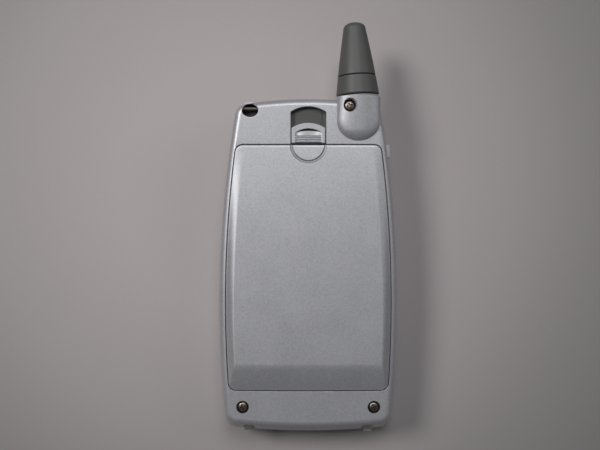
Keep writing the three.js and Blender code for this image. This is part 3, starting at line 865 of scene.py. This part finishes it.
def antennaWhip():
    profile = [(0, -82), (0.85, -82), (1.0, -81.8), (1.0, 19.4), (0.9, 19.5), (0, 19.5)]
    shape = place(lathe("antenna_rod", profile, 40), antennaSeat)
    weld(shape)
    settle(shape, "antenna", ["antenna_whip"], wireSteel)


antennaCollar()
antennaCap()
antennaWhip()
print("antenna made")


# Screws

screwLook = {"head": 1.5, "shank": 0.75, "dome": 0.3, "recess": 0.95, "slotHalf": 0.25,
             "slotDepth": 0.7}


def screwHead():
    head = screwLook["head"]
    profile = [(0, 0), (head - 0.1, 0), (head, 0.1), (head, 0.62), (head - 0.06, 0.78)]
    profile += [(head * math.cos(a) * 0.93, 0.8 + screwLook["dome"] * math.sin(a))
                for a in [math.pi / 2 * k / 6 for k in range(1, 6)]]
    profile += [(0, 0.8 + screwLook["dome"])]
    body = lathe("screw_head", profile, 48)
    weld(body)
    place(body, Matrix.Rotation(math.pi / 2, 4, "X"))
    slots = []
    for turn in (0.35, 0.35 + math.pi / 2):
        reach, half = screwLook["recess"], screwLook["slotHalf"]
        rings = [[(x * s, y * s, z) for x, y in rectangle(-reach, reach, -half, half)]
                 for s, z in ((0.55, 1.08 - screwLook["slotDepth"]), (1.0, 1.1), (1.0, 3))]
        slots.append(place(loft("arm", rings), Matrix.Rotation(turn, 4, "Z")))
    return cut(body, *slots)


def makeScrews():                                    # a head and a shank stand on each site
    seats = [(site["x"], site["y"], backAt(site["y"]) + site["top"] - screwSink + 0.05)
             for site in screwSites.values()]
    screws = meshFrom("case_screws", seats, [])
    lengths = screws.data.attributes.new("shankLength", "FLOAT", "POINT")
    lengths.data.foreach_set("value", [site["length"] * mm for site in screwSites.values()])
    head = screwHead()
    tree = Tree("screws")
    radius = tree.size("Shank radius", screwLook["shank"] * mm)
    headShape = tree.size("Head", head, "NodeSocketObject")
    heads = tree.stand(tree.sites, tree.node("GeometryNodeObjectInfo", {"Object": headShape},
                                             "Geometry"))
    rod = tree.node("GeometryNodeMeshCylinder", {"Vertices": 32, "Radius": radius, "Depth": 1.0})
    rod = tree.node("GeometryNodeTransform", {"Geometry": rod, "Translation": (0, 0, -0.4999)})
    length = tree.node("GeometryNodeInputNamedAttribute", {"Name": "shankLength"})
    stretch = tree.node("ShaderNodeCombineXYZ", {"X": 1.0, "Y": 1.0, "Z": length})
    both = tree.group.nodes.new("GeometryNodeJoinGeometry")
    for part in (heads, tree.stand(tree.sites, rod, stretch)):
        tree.group.links.new(part, both.inputs[0])
    tree.grow(screws, both.outputs[0], screwMetal)
    bpy.data.objects.remove(head)
    settle(screws, "case", list(screwSites), screwMetal)


makeScrews()
print("screws made")


# Front casing

face = {"recessHalf": 19.6, "recessBottom": -46.6, "recessTop": -3.2, "recessDepth": 0.9,
        "displayHalf": 17.7, "displayBottom": 9.8, "displayTop": 38.2}
keyLook = {"pitch": 12.6, "row": 7.4, "first": -20.0, "width": 10.4, "length": 5.4, "face": 0.3}


def keyList():
    keys = {}
    rows = (("1", "2", "3"), ("4", "5", "6"), ("7", "8", "9"), ("star", "0", "hash"))
    for line, row in enumerate(rows):
        for column, label in enumerate(row):
            keys["key_" + label] = ((1 - column) * keyLook["pitch"],
                                    keyLook["first"] - line * keyLook["row"],
                                    keyLook["width"], keyLook["length"], 1.6)
    side = keyLook["pitch"] + 0.2
    keys["soft_key_left"] = (side, -7.2, 9.2, 4.4, 1.6)
    keys["soft_key_right"] = (-side, -7.2, 9.2, 4.4, 1.6)
    keys["key_call"] = (side, -13.3, 9.2, 4.4, 1.6)
    keys["key_end"] = (-side, -13.3, 9.2, 4.4, 1.6)
    keys["key_clear"] = (0, -14.2, 8.4, 3.4, 1.6)
    keys["scroll_key"] = (0, -8.0, 11.0, 6.4, 3.1)
    return keys


def keyEdge(key, grow):
    x, y, width, length, radius = key
    return roundedBox(x - width / 2 - grow, x + width / 2 + grow, y - length / 2 - grow,
                      y + length / 2 + grow, radius + grow)


def frontMouth(name, points, deep, lip=0.15, level=0.0):
    rings = [lift(spread(points, lip), level - 2)]
    for degrees in (90, 60, 30, 0):
        angle = math.radians(degrees)
        rings.append(lift(spread(points, lip * (1 - math.cos(angle))),
                          level + lip * (1 - math.sin(angle))))
    rings.append(lift(points, deep))
    return loft(name, rings)


def frontCase():
    top = casing["seam"] - casing["gap"] / 2
    rings = []
    for degrees in range(0, 91, 9):                  # the rim rolls from the bezel into the side
        angle = math.radians(degrees)
        rings.append(lift(outline(shrink(seamForm, 4.6 - 4.2 * math.sin(angle))),
                          4.6 * (1 - math.cos(angle))))
    rings += [lift(outline(seamForm), top - 0.2), lift(outline(shrink(seamForm, 0.06)), top - 0.06),
              lift(outline(shrink(seamForm, 0.2)), top)]
    skin = loft("front_casing", rings)
    cavity = loft("cavity", [lift(outline(shrink(seamForm, inset)), height)
                             for inset, height in ((3.8, 2.2), (1.9, 4.7), (1.5, 10.5))])
    half, low, high = face["displayHalf"], face["displayBottom"], face["displayTop"]
    sites = [site for site in screwSites.values() if not site["top"]]
    posts = [prism("post", ellipse(s["x"], s["y"], 2.1, 2.1, 32), 1.5, top) for s in sites]
    holes = [prism("hole", ellipse(s["x"], s["y"], 1.05, 1.05, 24), 5.5, 12) for s in sites]
    field = frontMouth("field", roundedBox(-face["recessHalf"], face["recessHalf"],
                       face["recessBottom"], face["recessTop"], 3, 12), face["recessDepth"], 0.35)
    view = prism("view", rectangle(-half + 1, half - 1, low + 1, high - 1), -1, 5)
    pane = roundedBox(-half - 0.2, half + 0.2, low - 0.2, high + 0.2, 1.6, 10)
    glazing = frontMouth("glazing", pane, 1.45, 0.2)
    ears = [frontMouth("ear", roundedBox(-3.6 + abs(shift), 3.6 - abs(shift), 43.1 + shift,
                       43.8 + shift, 0.34), 4, 0.15) for shift in (-1.4, 0, 1.4)]
    keyHoles = [frontMouth("keyHole", keyEdge(key, 0.25), 4, 0.12, face["recessDepth"])
                for key in keyList().values()]
    socket = prism("socket", rectangle(-6.4, 6.4, -57, -50), 6.5, 12)
    lips = frontMouth("mouthHole", ellipse(8, -48.6, 0.5, 0.5, 24), 4, 0.15)
    shape = join(cut(skin, cavity), *posts)
    shape = cut(shape, field, view, glazing, *ears, *keyHoles, socket, *holes, lips)
    settle(shape, "case", ["front_case"], silver)


frontCase()
print("front casing made")


# Keys, with their digits

def keyBody(name, key):
    crown = keyLook["face"]
    rings = []
    for grow, height in ((-0.75, crown + 0.02), (-0.45, crown), (-0.2, crown + 0.06),
                         (-0.05, crown + 0.2), (0, crown + 0.42), (0, 2.6)):
        rings.append(lift(keyEdge(key, grow), height))
    cap = loft(name + "_cap", rings)
    x, y, width, length, _ = key
    flange = prism("flange", roundedBox(x - width / 2 - 0.35, x + width / 2 + 0.35,
                   y - length / 2 - 0.35, y + length / 2 + 0.35, 0.8), 2.35, 2.95)
    return join(cap, flange)


markLook = {"height": 0.2, "half": 0.04, "digit": 3.6, "sign": 2.4, "stripe": 1.9, "arrow": 1.0}


def markLevels(points):
    return [lift(points, markLook["height"] + side * markLook["half"]) for side in (-1, 1)]


def letter(name, text, x, y, size, body, finish):
    curve = bpy.data.curves.new(name, "FONT")
    curve.body = text
    curve.size = size * mm
    curve.extrude = markLook["half"] * mm
    curve.align_x = "CENTER"
    curve.align_y = "CENTER"
    shape = bpy.data.objects.new(name, curve)
    bpy.context.scene.collection.objects.link(shape)
    graph = bpy.context.evaluated_depsgraph_get()
    mesh = bpy.data.meshes.new_from_object(shape.evaluated_get(graph))
    bpy.data.objects.remove(shape)
    shape = bpy.data.objects.new(name, mesh)
    bpy.context.scene.collection.objects.link(shape)
    turn = Matrix.Rotation(math.pi, 4, "Y")
    place(shape, Matrix.Translation(Vector((x, y, markLook["height"])) * mm) @ turn)
    settle(shape, body, [], finish, weighted=False)


def makeKeys():
    signs = {"star": "*", "hash": "#"}
    for name, key in keyList().items():
        body = "scroll" if name == "scroll_key" else name + "_body"
        settle(keyBody(name, key), body, [name], keyPlastic)
        x, y = key[0], key[1]
        label = name.split("_")[1]
        if label.isdigit() or label in signs:
            drop = 0.5 if label == "star" else 0
            letter(name + "_mark", signs.get(label, label), x, y - drop, markLook["digit"],
                   body, letterInk)
    for name, finish in (("key_call", greenInk), ("key_end", redInk)):
        x, y = keyList()[name][:2]
        reach = markLook["stripe"]
        stripe = roundedBox(x - reach, x + reach, y - 0.45, y + 0.45, 0.44)
        shape = loft(name + "_stripe", markLevels(stripe))
        settle(shape, name + "_body", [], finish)
    letter("key_clear_mark", "C", *keyList()["key_clear"][:2], markLook["sign"], "key_clear_body",
           letterInk)
    for name, turn in (("scroll_up", 1), ("scroll_down", -1)):
        y = keyList()["scroll_key"][1] + turn * 1.9
        half = markLook["arrow"]
        points = [(-half, y - 0.35 * turn), (half, y - 0.35 * turn), (0, y + 0.55 * turn)]
        points = points if turn > 0 else points[::-1]
        shape = loft(name + "_arrow", markLevels(points))
        settle(shape, "scroll", [], letterInk)


makeKeys()
print("keys made")


# Display, side key, contacts

windowLook = {"front": 0.25, "back": 1.4, "softEdge": 0.2, "border": 1.41, "thick": 0.03,
              "viewHalf": 14.6, "viewEdge": 3.6}


def displayWindow():
    front, viewEdge = windowLook["front"], windowLook["viewEdge"]
    half, low, high = face["displayHalf"], face["displayBottom"], face["displayTop"]
    edge = roundedBox(-half, half, low, high, 1.4, 10)
    soft = windowLook["softEdge"]
    rings = [lift(spread(edge, -soft), front), lift(spread(edge, -0.3 * soft), front + 0.3 * soft),
             lift(edge, front + soft), lift(edge, windowLook["back"])]
    settle(loft("display_pane", rings), "case", ["display_window"], windowGlass)
    border = prism("display_border",
                   roundedBox(-half + 0.3, half - 0.3, low + 0.3, high - 0.3, 1.2),
                   windowLook["border"], windowLook["border"] + windowLook["thick"])
    view = prism("view", roundedBox(-windowLook["viewHalf"], windowLook["viewHalf"],
                 low + viewEdge, high - viewEdge, 0.6), 1, 2)
    settle(cut(border, view), "case", [], blackBorder)


def sidePress():
    y, z, half, thick = (sideKey[k] for k in ("y", "z", "half", "thick"))
    edge = roundedBox(y - half, y + half, z - thick, z + thick, 0.5)
    levels = [(0, 22.6), (0, 25.8), (-0.08, 26.1), (-0.24, 26.32), (-0.44, 26.4)]
    rings = [[(x, py, pz) for py, pz in spread(edge, grow)] for grow, x in levels]
    cap = loft("side_button_cap", rings)
    wide = roundedBox(y - half - 0.6, y + half + 0.6, z - thick - 0.6, z + thick + 0.6, 0.3)
    flange = loft("flange", [[(x, py, pz) for py, pz in wide] for x in (22.3, 22.9)])
    settle(join(cap, flange), "side_button", ["side_key"], keyPlastic)


def chargeContact(name, x):
    def foot(z):
        return -seamForm["bottom"] + 0.4 * (z - casing["seam"]) + x * x / 450

    rings = []
    for inset, z in ((0.25, 10.7), (0, 10.95), (0, 14.05), (0.25, 14.3)):
        rings.append([(px, py, z) for px, py in rectangle(x - 1.3, x + 1.3, foot(z) - 1.2 + inset,
                                                         foot(z) + 2.2)])
    settle(loft(name + "_tab", rings), "case", [name], contactMetal)


displayWindow()
sidePress()
chargeContact("charge_contact_left", -contactX)
chargeContact("charge_contact_right", contactX)
print("display, side key and contacts made")


# Finishes of the CAD nodes that stay

stayFinishes = {
    "lcd_panel": panelFace, "lcd_frame": trayPlastic, "main_board": boardMask,
    "battery_board": boardMask, "rf_shield": sheetSteel, "logic_shield": sheetSteel,
    "backup_cell": sheetSteel, "earpiece_receiver": sheetSteel, "microphone": sheetSteel,
    "vibration_motor": sheetSteel, "vibration_weight": sheetSteel, "earpiece_mesh": blackBorder,
    "antenna_coil": gold, "antenna_bush": gold, "antenna_stop": gold,
    "battery_terminal": gold, "antenna_tube": trayPlastic, "io_connector": darkPlastic,
    "keypad_mat": rubber, "battery_cell": cellWrap,
}
for nodeName, nodeFinish in stayFinishes.items():
    nodes[nodeName].data.materials.clear()
    nodes[nodeName].data.materials.append(nodeFinish)


# Floor, light, camera

# the floor's near and far colours and the ramp between them are painted light: a pool of light
# round the phone that darkens towards the edges
floorLook = {"half": 3000, "level": -0.02, "centre": (-0.02, 0.025, 0), "fibre": 900,
             "near": ((0.46, 0.42, 0.42, 1), (0.485, 0.445, 0.445, 1)),
             "far": ((0.18, 0.172, 0.168, 1), (0.192, 0.184, 0.18, 1)),
             "paintedLightFalloff": ((0.22, 0.0), (0.44, 0.3), (0.6, 0.65), (0.74, 0.87), (1.0, 1.0))}
lightLook = {"window_light": ((-0.50, 0.27, 0.68), 0.30, 3.45, (1.0, 0.99, 0.98)),
             "ceiling_light": ((0.05, 0.46, 0.86), 0.36, 2.45, (0.98, 0.99, 1.0)),
             "wall_light": ((0.62, 0.32, 0.52), 0.5, 0.8, (0.99, 0.99, 1.0))}
roomLook = {"colour": (0.9, 0.92, 1.0, 1), "strength": 0.09}
cameraLook = {"lens": 43.2, "sensor": 36, "nearest": 0.005, "place": (-0.0026, 0.0081, 0.2456),
              "tilt": 0.875}


def makeFloor():                                     # painted light: paler near the phone than far from it, a pool of light painted into the floor's colour
    finish = Finish("floorPaper")
    centred = finish.node("ShaderNodeVectorMath", {"operation": "SUBTRACT"},
                          {0: finish.place(), 1: floorLook["centre"]})
    away = finish.node("ShaderNodeVectorMath", {"operation": "LENGTH"}, {0: centred},
                       output="Value")
    fibre = finish.noise(floorLook["fibre"], 4.0, 0.6)
    near = finish.mix(fibre, *floorLook["near"])
    far = finish.mix(fibre, *floorLook["far"])
    # painted light: the colour darkens with distance from the centre
    paintedLightFalloff = finish.ramp(away * 5.0, *floorLook["paintedLightFalloff"])
    colour = finish.mix(paintedLightFalloff, near, far)
    finish.surface({"Base Color": colour, "Roughness": 0.85,
                    "Normal": finish.bump(fibre, 0.1, 0.0001)})
    half = floorLook["half"]
    floor = meshFrom("floor", lift(rectangle(-half, half, -half, half), floorLook["level"]),
                     [[0, 1, 2, 3]])
    floor.data.materials.append(finish.material)


def addLight(name, where, size, power, colour, aim=(0, 0, 0.01)):
    lamp = bpy.data.lights.new(name, "AREA")
    lamp.shape = "DISK"
    lamp.size = size
    lamp.energy = power
    lamp.color = colour
    holder = bpy.data.objects.new(name, lamp)
    holder.location = where
    holder.rotation_euler = (Vector(aim) - Vector(where)).to_track_quat("-Z", "Y").to_euler()
    bpy.context.scene.collection.objects.link(holder)


def makeLight():
    for name, values in lightLook.items():
        addLight(name, *values)
    world = bpy.data.worlds.new("room")
    world.use_nodes = True
    world.node_tree.nodes["Background"].inputs["Color"].default_value = roomLook["colour"]
    world.node_tree.nodes["Background"].inputs["Strength"].default_value = roomLook["strength"]
    bpy.context.scene.world = world
    bpy.context.scene.view_settings.view_transform = "Standard"


def makeCamera():
    lens = bpy.data.cameras.new("camera")
    lens.lens = cameraLook["lens"]
    lens.sensor_width = cameraLook["sensor"]
    lens.clip_start = cameraLook["nearest"]
    holder = bpy.data.objects.new("camera", lens)
    holder.location = cameraLook["place"]
    holder.rotation_euler = (math.radians(cameraLook["tilt"]), 0, 0)
    bpy.context.scene.collection.objects.link(holder)
    bpy.context.scene.camera = holder


makeFloor()
makeLight()
makeCamera()
print("stage ready")
